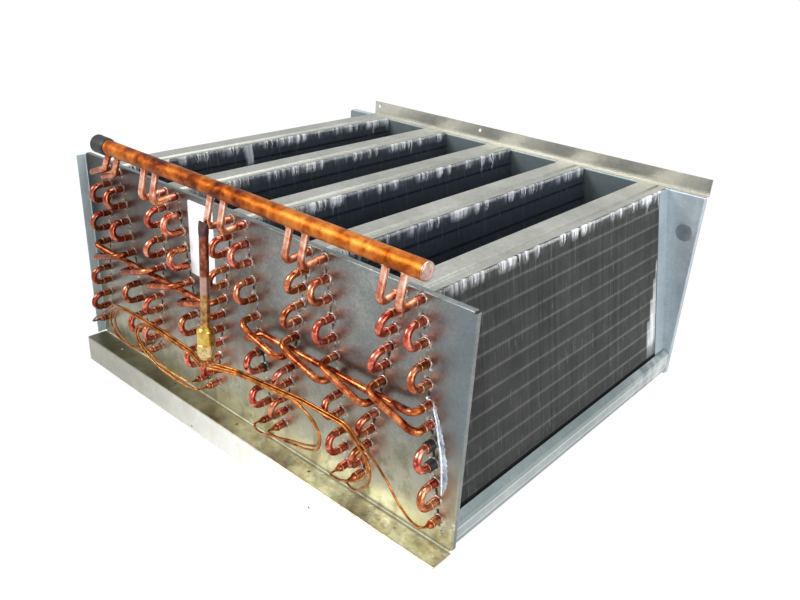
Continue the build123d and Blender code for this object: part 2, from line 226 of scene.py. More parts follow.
class Finish(Net):
    """One material: a principled shader whose patterns read Object coordinates in mm."""

    def __init__(self, name, **fixed):
        self.material = bpy.data.materials.new(name)
        self.material.use_nodes = True
        Net.__init__(self, self.material.node_tree)
        self.tree.nodes.clear()
        self.shader = self.tree.nodes.new("ShaderNodeBsdfPrincipled")
        output = self.tree.nodes.new("ShaderNodeOutputMaterial")
        self.tree.links.new(self.shader.outputs[0], output.inputs[0])
        for socket, value in fixed.items():
            self.shader.inputs[socket.replace("_", " ")].default_value = value
        place = self.node("ShaderNodeTexCoord", {}, out="Object")
        start = self.node(
            "ShaderNodeVectorMath", {"operation": "SUBTRACT"}, [place, ORIGIN]
        )
        self.place = self.node(
            "ShaderNodeVectorMath", {"operation": "SCALE"}, {0: start, "Scale": 1 / MM}
        )
        self.x = self.node("ShaderNodeSeparateXYZ", {}, [self.place])
        self.y = self.x.of("Y")
        self.z = self.x.of("Z")

    def noise(self, size, detail=3.0, rough=0.55, place=None, distortion=0.0):
        """Noise whose blotches are about size mm across."""
        return self.node("ShaderNodeTexNoise", {}, {
            "Vector": place or self.place, "Scale": 1 / size, "Detail": detail,
            "Roughness": rough, "Distortion": distortion,
        })

    def crystals(self, size):
        """A random shade for each cell of about size mm."""
        cells = self.node("ShaderNodeTexVoronoi", {"feature": "F1"}, {
            "Vector": self.place, "Scale": 1 / size,
        }, out="Color")
        return self.node("ShaderNodeSeparateColor", {}, [cells])

    def stretched(self, x, y, z):
        """The place with each direction divided, so that a pattern runs long that way."""
        return self.node(
            "ShaderNodeVectorMath", {"operation": "DIVIDE"}, [self.place, (x, y, z)]
        )

    def attribute(self, name):
        return self.node("ShaderNodeAttribute", {"attribute_name": name}, out="Fac")

    def tones(self, value, stops, colours):
        """A colour for each value, from the colours at the stops."""
        return self.node("ShaderNodeValToRGB", {"stops": list(zip(stops, colours))}, [value])

    def cover(self, mask, colour):
        """Lays a colour over what is there, as thick as the mask says, and returns the mask held."""
        mask = mask.held()
        self.colour = self.blend(mask, self.colour, colour)
        return mask

    def set(self, **sockets):
        for name, value in sockets.items():
            self.feed(self.shader.inputs[name.replace("_", " ")], value)

    def bump(self, height, depth, strength=1.0):
        """Bump of the given depth in mm."""
        self.set(Normal=self.node("ShaderNodeBump", {}, {
            "Height": height, "Distance": depth * MM, "Strength": strength,
        }))

    def done(self):
        self.set(Base_Color=self.colour, Roughness=self.rough)
        return self.material


def rgb(red, green, shaded_tint):
    """A colour as the eye reads it, 0 to 255, as the shader's linear numbers."""
    return tuple((v / 255) ** 2.2 for v in (red, green, shaded_tint)) + (1.0,)


def tube_row_distance(look):
    """Distance in mm from the nearest row of tubes in the sheet, for heat and flux stains."""
    off = (look.x - (apex_x(0) - APEX_PITCH / 2)) / APEX_PITCH
    from_apex = ((off.fraction() - 0.5) * APEX_PITCH).abs()
    return (from_apex - (TUBE_ONE_Z - look.z) * math.tan(LEAN) - HALF_TOP).abs()


# Zinc in three tones each, from dark to pale
STEEL_PLATE = (rgb(96, 101, 100), rgb(136, 141, 138), rgb(184, 188, 183))
STEEL_REAR = (rgb(148, 160, 168), rgb(176, 187, 193), rgb(206, 214, 217))
STEEL_RAIL = (rgb(130, 143, 147), rgb(162, 172, 174), rgb(204, 211, 209))
STEEL_CAP = (rgb(140, 140, 130), rgb(170, 170, 160), rgb(202, 201, 192))
STEEL_TOP = (rgb(164, 163, 153), rgb(190, 188, 177), rgb(214, 211, 199))


def galvanised(name, tones, rolled=(1.0, 1.0, 1.0), metallic=1.0, dull=0.0):
    """Galvanised sheet: small flat crystals of zinc, cloudy patches and rolling lines."""
    look = Finish(name, Metallic=metallic)
    spangle = look.crystals(3.4)
    grain = look.noise(0.9, 2.0)
    cloud = look.noise(75.0, 5.0, 0.6)
    streak = look.noise(2.6, 4.0, 0.6, look.stretched(*rolled))
    shade = spangle * 0.10 + grain * 0.20 + cloud * 0.52 + streak * 0.18
    look.colour = look.tones(shade, (0.26, 0.50, 0.78), tones)
    look.rough = 0.25 + dull + spangle * 0.05 + cloud * 0.15
    look.bump(spangle * 0.2 + grain * 0.25 + streak * 0.3 + look.noise(38.0, 2.0) * 4.0, 0.10)
    return look


def heat_stains(look, front, patch):
    """Scorched, tarnished and sooty patches near the tube rows, painted shade darker to the left and high up, and
    a rose painted reflection of the copper near the rows.
    """
    near = tube_row_distance(look).ramp(30.0, 4.0)
    below = look.z.ramp(340.0, 290.0)
    # Painted shade: the sheet drawn darker towards the left, high up.
    painted_shade_upper_left = look.x.ramp(470.0, 80.0) * look.z.ramp(120.0, 240.0) * front
    look.cover(painted_shade_upper_left * (0.5 + patch * 0.6), rgb(72, 68, 66))
    cool = look.x.ramp(700.0, 775.0) * look.z.ramp(20.0, 120.0) * front
    look.cover(cool * 0.6, rgb(106, 120, 126))
    green = near * look.noise(31.0, 4.0).ramp(0.50, 0.62) * look.z.ramp(250.0, 150.0) * front
    look.cover(green * 0.65, rgb(100, 108, 66))
    plum = near * look.noise(25.0, 4.0).ramp(0.52, 0.66) * look.z.ramp(130.0, 230.0) * below * front
    look.cover(plum * 0.45, rgb(122, 88, 98))
    warm = look.cover(near * patch.ramp(0.38, 0.64) * below * front * 0.66, rgb(126, 112, 90))
    # Painted reflection: a rose tint near the rows stands for the copper tubes reflected in the zinc.
    painted_copper_reflection = near * look.noise(18.0, 3.0).ramp(0.46, 0.66) * below * front
    look.cover(painted_copper_reflection * 0.18, rgb(206, 160, 146))
    soot = tube_row_distance(look).ramp(15.0, 3.0) * look.noise(13.0, 4.0, 0.6).ramp(0.57, 0.70) * front
    char = look.cover(soot * 0.62, rgb(66, 58, 48))
    look.rough = look.rough + warm * 0.16 + char * 0.2


def water_stains(look, front):
    """Cream, moss and rust that has run down to the sheet's foot."""
    run = look.noise(24.0, 5.0, 0.62, look.stretched(1.0, 1.0, 2.6))
    low = look.z.ramp(170.0, 20.0) * front * look.x.ramp(120.0, 420.0, 0.7, 1.0)
    look.cover(low * 0.62 + run.ramp(0.35, 0.6) * low * 0.25, rgb(204, 200, 172))
    moss = look.cover(run.ramp(0.45, 0.64) * low * 0.5, rgb(122, 114, 74))
    brown = look.noise(34.0, 5.0, 0.66).ramp(0.50, 0.64) * look.z.ramp(210.0, 60.0) * front
    look.cover(brown * 0.4, rgb(104, 92, 66))
    rust = look.noise(9.0, 5.0, 0.7).ramp(0.60, 0.74) * look.z.ramp(120.0, 20.0) * front
    look.cover(rust * 0.5, rgb(134, 104, 66))
    chalk = look.noise(22.0, 4.0, 0.6).ramp(0.58, 0.72) * look.z.ramp(130.0, 40.0) * front
    look.cover(chalk * 0.5, rgb(232, 232, 222))
    look.rough = look.rough + moss * 0.15


def flux_marks(look, front):
    """Silver splashes, and dark lines along the rows between the tube mouths."""
    row_step = TUBE_PITCH * math.cos(LEAN)
    up_down = (((TUBE_ONE_Z - look.z) / row_step + 0.5).fraction() - 0.5) * TUBE_PITCH
    from_tube = (tube_row_distance(look) ** 2.0 + up_down ** 2.0) ** 0.5
    in_rows = look.z.ramp(340.0, 290.0) * front * look.z.ramp(26.0, 31.0)
    splash = from_tube.ramp(11.5, 7.0) * look.noise(5.0, 3.0).ramp(0.50, 0.60) * in_rows
    look.cover(splash * 0.75, rgb(236, 234, 232))
    dark_row_lines = tube_row_distance(look).ramp(2.6, 1.2) * look.noise(17.0, 2.0).ramp(0.50, 0.56) * in_rows
    look.cover(dark_row_lines * 0.85, rgb(28, 27, 28))
    look.rough = look.rough + dark_row_lines * 0.3


def foot_marks(look, front, patch):
    """Pale left fold as painted light, foot darker to the left in patches, a crease with painted shade and dulled,
    and a near-white lip as painted glare, whiter to the right.
    """
    # Painted light: the left fold drawn pale and cool, as a face turned another way to the lamps, and made less
    # metallic.
    lit_left_fold = look.cover(look.x.ramp(2.4, 1.5), rgb(198, 216, 220))
    # Painted light: the lip drawn near white, whiter to the right, as glare that blows it out, and made less
    # metallic.
    lip = look.z.ramp(-0.4, -2.2) * look.x.ramp(60.0, 600.0, 0.2, 0.9) * (0.8 + patch * 0.4)
    off_lip = (1.0 - lip).held()
    reach = look.y.ramp(-1.0, -3.0)
    darker_foot = look.z.ramp(4.0, 1.5) * reach * look.x.ramp(700.0, 60.0) * off_lip
    look.cover(darker_foot * (0.35 + patch * 0.9), rgb(96, 92, 68))
    on_foot = look.z.ramp(2.8, 2.2) * reach * off_lip
    slate = look.noise(28.0, 4.0, 0.6).ramp(0.50, 0.58) * on_foot
    look.cover(slate * 0.4, rgb(116, 124, 122))
    umber = look.noise(19.0, 4.0, 0.6).ramp(0.54, 0.62) * on_foot
    look.cover(umber * 0.36, rgb(118, 100, 62))
    # Painted shade: the crease drawn darker to dim the highlight on its bend.
    crease = look.z.ramp(6.0, 4.0) * look.y.ramp(-6.0, -4.0) * front
    look.cover(crease * 0.25, rgb(168, 166, 146))
    look.cover(lip, rgb(250, 250, 245))
    look.rough = look.rough + crease.held() * 0.2
    look.set(Metallic=(1.0 - lit_left_fold * 0.7 - lip * 0.8).held())


def front_sheet_finish():
    look = galvanised("galvanised_sheet", STEEL_PLATE)
    front = look.y.ramp(2.6, 0.6)
    patch = look.noise(26.0, 5.0, 0.66)
    heat_stains(look, front, patch)
    water_stains(look, front)
    flux_marks(look, front)
    foot_marks(look, front, patch)
    return look.done()


def base_rail_finish():
    """Zinc with painted shade on the bands beyond the rail's two creases, painted highlights along the creases,
    and paler towards the far end.
    """
    upper_crease = 29.4
    lower_crease = 15.5
    look = galvanised("galvanised_rail", STEEL_RAIL, rolled=(1.0, 30.0, 1.0), metallic=0.9, dull=0.04)
    # Painted shade: the bands above the top crease and below the bottom one drawn darker, as faces turned away
    # from the lamps.
    look.cover(look.z.ramp(upper_crease + 1.1, upper_crease + 2.6) * 0.45, rgb(112, 126, 123))
    look.cover(look.z.ramp(lower_crease - 0.5, lower_crease - 3.0) * 0.5, rgb(116, 132, 140))
    far_end = look.y.ramp(420.0, 560.0) * look.noise(40.0, 3.0).ramp(0.35, 0.6)
    look.cover(far_end * 0.6, rgb(238, 242, 242))
    # Painted highlights: pale lines along both creases, as light catching the folds.
    upper = (look.z - upper_crease).abs().ramp(1.1, 0.3)
    lower = (look.z - lower_crease).abs().ramp(1.3, 0.4)
    look.cover(upper + lower * 0.7, rgb(224, 222, 204))
    return look.done()


def rear_sheet_finish():
    """Paler zinc, with painted shade inside between the slabs."""
    look = galvanised("rear_sheet", STEEL_REAR, rolled=(1.0, 1.0, 20.0), metallic=0.6, dull=0.12)
    # Painted shade: the rear sheet drawn darker where it shows between the slabs.
    inside = look.x.ramp(706.0, 694.0) * look.y.ramp(DEPTH + 0.9, DEPTH + 0.4)
    look.cover(inside * 0.75, rgb(98, 112, 110))
    return look.done()


# Copper in three tones each, from deep to bright
RED_COPPER = (rgb(150, 54, 42), rgb(214, 100, 80), rgb(250, 172, 146))
BROWN_COPPER = (rgb(124, 58, 34), rgb(200, 112, 76), rgb(244, 178, 140))
ORANGE_COPPER = (rgb(100, 40, 22), rgb(170, 86, 48), rgb(222, 146, 96))
GOLD_COPPER = (rgb(126, 70, 26), rgb(178, 108, 48), rgb(214, 150, 88))
PINK_COPPER = (rgb(196, 110, 84), rgb(236, 168, 140), rgb(254, 226, 208))
HEADER_COPPER = (rgb(92, 38, 14), rgb(168, 86, 30), rgb(214, 132, 58))
CAP_COPPER = (rgb(150, 110, 98), rgb(196, 160, 146), rgb(230, 204, 190))
BRAZE = (rgb(130, 80, 52), rgb(204, 156, 116), rgb(244, 222, 198))
COLLAR = (rgb(96, 88, 80), rgb(186, 176, 164), rgb(240, 236, 226))
COPPER_STOPS = (0.36, 0.50, 0.66)


def copper(
    name, tones, scorch=0.4, chalk=0.25, roughness=0.24, blotch=13.0,
    along=None, second=None, where=None,
):
    """Brazed copper: heat colours in patches, dark scale, pale flux, fine drawing lines, painted shade to the
    left.
    """
    look = Finish(name, Metallic=1.0)
    patch = look.noise(blotch, 4.0, 0.55, distortion=0.5)
    mottle = look.noise(blotch / 4, 4.0, 0.6)
    tone = patch * 0.8 + mottle * 0.2
    if along:
        tone = tone + along(look)
    look.colour = look.tones(tone, COPPER_STOPS, tones)
    if second:
        mask = where(look) if where else look.noise(64.0, 1.0).ramp(0.42, 0.60)
        look.cover(mask, look.tones(tone, COPPER_STOPS, second))
    scale = look.cover(look.noise(8.0, 5.0, 0.7).ramp(0.58, 0.70) * scorch, rgb(74, 36, 26))
    # Painted shade: copper drawn darker towards the left, below the header.
    shaded_left_end = look.x.ramp(230.0, 40.0) * (patch * 0.9 + 0.1) * look.z.ramp(340.0, 320.0)
    look.cover(shaded_left_end, rgb(92, 44, 28))
    flux = look.cover(look.noise(5.5, 4.0, 0.65).ramp(0.60, 0.72) * chalk, rgb(240, 200, 176))
    look.rough = roughness + patch * 0.16 + scale * 0.22 + flux * 0.15
    look.bump(mottle * 0.5 + look.noise(1.1, 2.0) * 0.3, 0.05)
    return look.done()


def paler_to_the_right(look):
    return look.x.ramp(60.0, 700.0, -0.06, 0.04)


def stub_foot_or_left(look):
    return look.z.ramp(333.0, 312.0).most(look.x.ramp(215.0, 150.0) * 0.8)


def fin_finish():
    """Thin aluminium: dull mill surface, a cool tint of painted shade on the faces between the slabs, bright where
    an edge is rubbed, painted highlights where fins are pressed and knocked flat.
    """
    look = Finish("fin_aluminium", Metallic=1.0)
    height = look.attribute("slab_height")
    across = look.attribute("slab_across")
    bent = look.attribute("fin_bent")
    number = look.attribute("fin")
    turn = ((height - ROW_LIFT) / -TUBE_PITCH + 0.5).fraction()
    tube_rows = (turn - 0.5).abs().ramp(0.13, 0.0) * height.ramp(-10.0, -16.0) * height.ramp(-262.0, -256.0)
    fin_tone = look.dice(number, 0.0)
    group = look.flat_noise(number * 0.21, height * 0.004, 4.0)
    dash = look.flat_noise(number * 3.7, height * 0.021, 1.0)
    scratch = dash.ramp(0.68, 0.74) * fin_tone.ramp(0.55, 0.8)
    edge = across.abs().ramp(9.0, 10.8)
    grain = look.noise(4.0, 3.0)
    shade = look.noise(45.0, 4.0, 0.6) * 0.35 + grain * 0.2 + group * 0.3 + fin_tone * 0.15
    look.colour = look.tones(
        shade, (0.28, 0.52, 0.78), (rgb(112, 116, 117), rgb(152, 154, 153), rgb(190, 191, 188)),
    )
    # Painted shade: every face but the outermost right one gets a cool tint.
    right_face = look.x.ramp(690.0, 705.0)
    shaded_tint = look.blend(0.5, look.colour, rgb(126, 158, 188))
    look.colour = look.blend(right_face, shaded_tint, look.colour)
    look.cover(edge * 0.25, rgb(200, 202, 200))
    # Tube rows are painted light and shade: pale painted highlights on the outermost face, dark painted shade on
    # the shaded ones.
    row_highlight_and_shade = look.blend(right_face, rgb(36, 42, 52), rgb(236, 234, 228))
    look.cover(tube_rows * (0.25 + group * 0.7), row_highlight_and_shade)
    look.cover(scratch * 0.6 * edge, rgb(236, 238, 238))
    # Under the cap the fin tips are pressed flat; their shine, and that of the knocked patches, is a painted
    # highlight in near white with less metal; the last of each fin lies in the rail's shadow, which is painted
    # near black.
    tips = height.ramp(0.6, 2.6) * look.noise(7.0, 3.0).ramp(0.3, 0.5) * edge
    bright = look.cover(bent.most(tips * 0.8), rgb(242, 244, 244))
    sunk = look.cover(height.ramp(-269.0, -272.0) * edge * right_face * bent.ramp(0.6, 0.3), rgb(8, 9, 12))
    look.rough = 0.42 + grain * 0.2 + sunk * 0.3
    look.set(Metallic=(1.0 - bright * 0.85 - sunk * 0.8).held())
    look.bump(grain, 0.08)
    return look.done()


def brass_finish():
    """Turned brass: fine tool rings round the axis, heat tint at the shoulder, frosted skirt."""
    look = Finish("distributor_brass", Metallic=1.0)
    rings = look.noise(0.9, 2.0, place=look.stretched(60.0, 60.0, 1.0))
    patch = look.noise(9.0, 4.0)
    look.colour = look.tones(
        patch * 0.7 + rings * 0.3, (0.30, 0.52, 0.72), (rgb(166, 124, 52), rgb(218, 182, 92), rgb(244, 222, 150)),
    )
    heat = look.z.ramp(158.0, 172.0) * patch.ramp(0.4, 0.6)
    look.cover(heat * 0.5, rgb(196, 110, 60))
    frost = look.z.ramp(144.5, 141.0) * look.noise(3.0, 3.0).ramp(0.38, 0.6)
    look.cover(frost * 0.6, rgb(236, 226, 196))
    look.rough = 0.20 + patch * 0.14 + frost * 0.3
    look.bump(rings * 0.7 + patch * 0.3, 0.12)
    return look.done()


def line_finish():
    """Liquid line: brown at the top, a pale sleeve where the braze was wiped, then pale gold."""
    look = Finish("line_copper", Metallic=1.0)
    stops = (0.3, 0.5, 0.7)
    patch = look.noise(8.0, 5.0, 0.65)
    edge = look.z + patch * 8.0
    brown = look.tones(patch, stops, (rgb(66, 36, 30), rgb(136, 76, 58), rgb(188, 126, 100)))
    gold = look.tones(patch, stops, (rgb(120, 78, 44), rgb(178, 134, 84), rgb(222, 188, 138)))
    look.colour = look.blend(edge.ramp(247.0, 253.0), gold, brown)
    sleeve = edge.ramp(222.0, 226.0) * edge.ramp(252.0, 249.0)
    look.cover(sleeve * 0.75, rgb(188, 160, 152))
    pinch = look.z.ramp(299.0, 308.0)
    look.cover(pinch * 0.8, rgb(70, 68, 70))
    look.rough = 0.24 + patch * 0.25 + pinch * 0.2
    look.bump(look.noise(2.0, 3.0), 0.12)
    return look.done()


def plain_finish(name, dark, pale, roughness, grain, depth, metallic=0.0, coat=0.0):
    """Moulded or printed surface: slight cloudiness and a fine grain, both in mm."""
    look = Finish(name, Metallic=metallic, Coat_Weight=coat)
    cloud = look.noise(grain * 14, 4.0, 0.6)
    fine = look.noise(grain, 3.0)
    look.colour = look.blend((cloud * 0.7 + fine * 0.3).ramp(0.3, 0.7), dark, pale)
    look.rough = roughness + fine * 0.15
    look.bump(fine, depth)
    return look.done()


finishes = {
    "galvanised_sheet": front_sheet_finish(),
    "galvanised_rail": base_rail_finish(),
    "rear_sheet": rear_sheet_finish(),
    "cap_strip": galvanised("cap_strip", STEEL_CAP, rolled=(1.0, 40.0, 1.0), metallic=0.85, dull=0.06).done(),
    "top_rail": galvanised("top_rail", STEEL_TOP, rolled=(30.0, 1.0, 1.0), metallic=0.85, dull=0.05).done(),
    "tube_copper": copper(
        "tube_copper", RED_COPPER, scorch=0.5, chalk=0.7, roughness=0.17, second=BROWN_COPPER,
    ),
    "bend_copper": copper(
        "bend_copper", RED_COPPER, scorch=0.3, chalk=0.5, roughness=0.14, second=BROWN_COPPER,
    ),
    "crossover_copper": copper(
        "crossover_copper", ORANGE_COPPER, scorch=0.35, chalk=0.3, roughness=0.2,
    ),
    "header_copper": copper(
        "header_copper", HEADER_COPPER, chalk=0.08, roughness=0.40, blotch=26.0, along=paler_to_the_right,
    ),
    "header_cap": copper("header_cap_copper", CAP_COPPER, scorch=0.3, chalk=0.3),
    "stub_copper": copper(
        "stub_copper", PINK_COPPER, chalk=0.5, second=BROWN_COPPER, where=stub_foot_or_left,
    ),
    "capillary_copper": copper("capillary_copper", GOLD_COPPER, scorch=0.3, chalk=0.2),
    "reducer_copper": copper("reducer_copper", ORANGE_COPPER, scorch=0.6, chalk=0.5),
    "line_copper": line_finish(),
    "distributor_brass": brass_finish(),
    "fin_aluminium": fin_finish(),
    "black_rubber": plain_finish(
        "black_rubber", rgb(14, 14, 15), rgb(38, 37, 38), roughness=0.45, grain=1.2, depth=0.10,
    ),
    "white_label": plain_finish(
        "white_label", rgb(226, 229, 230), rgb(248, 249, 249), roughness=0.34, grain=1.5, depth=0.03,
    ),
    "grey_plug": plain_finish(
        "grey_plug", rgb(112, 118, 126), rgb(150, 155, 160), roughness=0.4, grain=1.4, depth=0.05, metallic=0.6,
    ),
    "braze": copper("braze_pale", BRAZE, scorch=0.5, chalk=0.7, roughness=0.3),
    "collar": copper("collar_finish", COLLAR, scorch=0.7, chalk=0.6, roughness=0.35),
    "soot": plain_finish("soot", rgb(6, 6, 6), rgb(34, 28, 26), roughness=0.35, grain=2.0, depth=0.4),
    "sealant": plain_finish(
        "sealant", rgb(96, 116, 140), rgb(214, 226, 238),
        roughness=0.12, grain=1.6, depth=0.6, metallic=0.35, coat=0.6,
    ),
    "sealant_ridge": plain_finish(
        "sealant_ridge", rgb(214, 226, 238), rgb(252, 253, 254),
        roughness=0.10, grain=1.6, depth=0.4, metallic=0.1, coat=0.8,
    ),
}

# CAD nodes keep their shapes and take these finishes
own_finish = {"rear_top_rail": "top_rail", "rear_tube_sheet": "rear_sheet", "header_end_cap": "header_cap"}
own_finish.update({node: "cap_strip" for node in frame["nodes"] if node.startswith("top_cap")})
slots = {row["node"]: row["material_slot"] for row in frame["record"]["subparts"]}
for node, obj in frame["nodes"].items():
    finish = finishes[own_finish.get(node, slots[node])]
    if not obj.data.materials:
        obj.data.materials.append(finish)
    for index in range(len(obj.material_slots)):
        obj.material_slots[index].material = finish


def keep(obj, slot, *nodes):
    """A finished piece: it rides on the one body and may stand for CAD nodes."""
    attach(obj, "root")
    if nodes:
        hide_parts(*nodes)
    return obj


def mesh_object(name, verts, faces, finish=None):
    mesh = bpy.data.meshes.new(name)
    mesh.from_pydata([tuple(v) for v in verts], [], faces)
    mesh.update()
    obj = bpy.data.objects.new(name, mesh)
    bpy.context.scene.collection.objects.link(obj)
    if finish:
        mesh.materials.append(finish)
    return obj


def face_outwards(obj, smooth=True):
    """Turns all faces outwards on closed pieces."""
    work = bmesh.new()
    work.from_mesh(obj.data)
    bmesh.ops.remove_doubles(work, verts=work.verts, dist=1e-7)
    bmesh.ops.recalc_face_normals(work, faces=work.faces)
    work.to_mesh(obj.data)
    work.free()
    for polygon in obj.data.polygons:
        polygon.use_smooth = smooth
    return obj


def band(first, second, around):
    """Faces between two rings of points, by the number of each ring's first point."""
    faces = []
    for k in range(around):
        after = (k + 1) % around
        faces.append((first + k, second + k, second + after, first + after))
    return faces


class Maker(Net):
    """A geometry tree with named sizes; its end sets the finish."""

    def __init__(self, name, sizes):
        Net.__init__(self, bpy.data.node_groups.new(name, "GeometryNodeTree"))
        self.sizes = {}
        self.tree.interface.new_socket("Geometry", in_out="INPUT", socket_type="NodeSocketGeometry")
        for size, (kind, value) in sizes.items():
            socket = self.tree.interface.new_socket(size, in_out="INPUT", socket_type="NodeSocket" + kind)
            socket.default_value = value
            self.sizes[size] = socket.identifier
        self.tree.interface.new_socket("Geometry", in_out="OUTPUT", socket_type="NodeSocketGeometry")
        self.start = self.node("NodeGroupInput")

    def size(self, name):
        return self.start.of(name)

    def position(self):
        return self.node("GeometryNodeInputPosition")

    def offset(self, geometry, vector):
        return self.node("GeometryNodeSetPosition", {}, {"Geometry": geometry, "Offset": vector})

    def store(self, geometry, name, value, domain="POINT"):
        return self.node("GeometryNodeStoreNamedAttribute", {"domain": domain, "data_type": "FLOAT"}, {
            "Geometry": geometry, "Name": name, "Value": value,
        })

    def end(self, geometry, finish, smooth=False):
        solid = geometry
        if smooth:
            solid = self.node("GeometryNodeSetShadeSmooth", {}, {0: solid})
        solid = self.node("GeometryNodeSetMaterial", {}, {"Geometry": solid, "Material": finish})
        output = self.tree.nodes.new("NodeGroupOutput")
        self.tree.links.new(solid.socket, output.inputs[0])

    def make(self, name, points, sizes):
        """Runs the tree on an object of loose points and returns it as a plain mesh."""
        obj = mesh_object(name, points, [])
        modifier = obj.modifiers.new("make", "NODES")
        modifier.node_group = self.tree
        for size, value in sizes.items():
            modifier[self.sizes[size]] = value
        bpy.context.view_layer.update()
        solid = bpy.data.meshes.new_from_object(obj.evaluated_get(bpy.context.evaluated_depsgraph_get()))
        obj.modifiers.clear()
        obj.data = solid
        solid.name = name
        finish = [m for m in solid.materials if m][0]
        solid.materials.clear()
        solid.materials.append(finish)
        solid.polygons.foreach_set("material_index", [0] * len(solid.polygons))
        return obj


def fin_row(fins):
    """Thin upright plates in a row, with more points near the top, each with its number."""
    plate = fins.node("GeometryNodeMeshCube", {}, {
        "Size": fins.vector(fins.size("Depth"), fins.size("Thickness"), fins.size("Height")),
        "Vertices X": 5, "Vertices Y": 2, "Vertices Z": 14,
    }, out="Mesh")
    z = fins.node("ShaderNodeSeparateXYZ", {}, [fins.position()]).of("Z")
    share = (0.5 - z / fins.size("Height")).held() ** 2.0
    drop = -share * fins.size("Height") - z + FIN_MARGIN * MM
    plate = fins.offset(plate, fins.vector(0.0, 0.0, drop))
    row = fins.node("GeometryNodeMeshLine", {}, {
        "Count": fins.size("Count"), "Offset": fins.vector(0.0, fins.size("Pitch"), 0.0),
    })
    copies = fins.node("GeometryNodeInstanceOnPoints", {}, {"Points": row, "Instance": plate})
    copies = fins.store(copies, "fin", fins.node("GeometryNodeInputIndex"), "INSTANCE")
    return fins.node("GeometryNodeRealizeInstances", {}, [copies])


def fin_knock(fins, number, z, outer):
    """One place on a slab where a knock has laid the fins over."""
    top = fins.size("Patch Top")
    low = fins.size("Patch Low")
    half = fins.node("ShaderNodeMapRange", {}, [
        z, low, top, fins.size("Patch Half Low"), fins.size("Patch Half Top"),
    ])
    within = (half - (number - (fins.size("Patch Fin") - half)).abs()).ramp(-0.4, 0.6)
    return within * (z - low).ramp(-4.0, 6.0) * (top - z).ramp(-4.0, 6.0) * outer


def leaning_fins():
    """A slab of fins, bent at random near the top, where the caps were pressed on."""
    fins = Maker("leaning_fins", {
        "Pitch": ("Float", FIN_PITCH * MM), "Count": ("Int", FIN_COUNT), "Depth": ("Float", FIN_DEPTH * MM),
        "Height": ("Float", SLAB_HEIGHT * MM), "Thickness": ("Float", FIN_THICK * MM), "Lean": ("Float", 0.0),
        "Side": ("Float", 1.0), "Place": ("Vector", (0.0, 0.0, 0.0)), "Crush": ("Float", 1.0), "Seed": ("Int", 1),
        "Patch Fin": ("Float", -100.0), "Patch Top": ("Float", 8.0), "Patch Low": ("Float", -27.0),
        "Patch Half Top": ("Float", 4.5), "Patch Half Low": ("Float", 4.5),
    })
    side = fins.size("Side")
    crush = fins.size("Crush")
    seed = fins.size("Seed")
    block = fin_row(fins)
    number = fins.node("GeometryNodeInputNamedAttribute", {"data_type": "FLOAT"}, {"Name": "fin"})
    x = fins.node("ShaderNodeSeparateXYZ", {}, [fins.position()])
    z = x.of("Z")
    z_mm = z / MM
    outer = (x * side / (FIN_DEPTH * MM / 2)).ramp(0.2, 0.95)
    wander = fins.flat_noise(number * 0.045 + seed * 7.3, z * 9.0, 2.0)
    patchy = fins.flat_noise(number * 0.11 + seed * 3.1, 0.5, 3.0)
    wild = fins.dice(number + 0.5, seed + 0.5)

    # The crushed edge reaches further down towards the ends of the slab
    crushed = (patchy.ramp(0.42, 0.60) * 0.8 + wild.ramp(0.3, 0.7) * 0.35) * crush
    at_ends = (number - FIN_COUNT / 2).abs().ramp(75.0, 150.0)
    deeper = patchy.ramp(0.48, 0.72) * wild * 8.0 + at_ends * patchy * wild * 9.0
    fold = outer * (z_mm + 1.0 + deeper * crush).ramp(-3.0, 3.0) * crushed
    knock = fin_knock(fins, number, z_mm, outer)

    out = (fold * wild * 0.0007 + knock * (wild - 0.6) * 0.0012) * side
    sway = (wander - 0.5) * 0.0011 + fold * ((wild - 0.5) * 0.0062 + (patchy - 0.5) * 0.006)
    sway = sway + knock * (wild * 0.0022 + 0.0034)
    rise = fold * (wild - 0.35) * 0.0022 * z_mm.ramp(0.0, 5.0)
    block = fins.offset(block, fins.vector(out, sway, rise))
    block = fins.store(block, "fin_bent", (fold * (0.35 + wild * 0.75)).most(knock * (wild * 0.4 + 0.6)))
    block = fins.store(block, "slab_height", z_mm)
    block = fins.store(block, "slab_across", x / MM)
    block = fins.node("GeometryNodeTransform", {}, {
        "Geometry": block, "Translation": fins.size("Place"), "Rotation": fins.vector(0.0, fins.size("Lean"), 0.0),
    })
    fins.end(block, finishes["fin_aluminium"])
    return fins


# Two slabs carry a knock: the far edge of the patch by fin number, and its extent in mm and in fins
KNOCKED = {
    "b": {
        "Patch Fin": 134.5, "Patch Top": 9.0, "Patch Low": -27.0,
        "Patch Half Top": 5.5, "Patch Half Low": 3.5,
    },
    "j": {
        "Patch Fin": 313.5, "Patch Top": -112.0, "Patch Low": -270.0,
        "Patch Half Top": 0.4, "Patch Half Low": 11.2,
    },
}
LEFT_FACE_CRUSH = 0.45


def fin_slabs():
    fins = leaning_fins()
    for number, column in enumerate(COLUMNS):
        side = side_of(column)
        slab = fins.make("fins_" + column, [(0, 0, 0)], {
            "Pitch": FIN_PITCH * MM, "Height": SLAB_HEIGHT * MM, "Lean": -side * LEAN,
            "Side": float(side), "Place": on_tube(column, 1, FIN_START + FIN_THICK / 2),
            "Crush": 1.0 if side > 0 else LEFT_FACE_CRUSH, "Seed": number + 1, **KNOCKED.get(column, {}),
        })
        keep(slab, "fin_aluminium", "fin_pack_" + column)


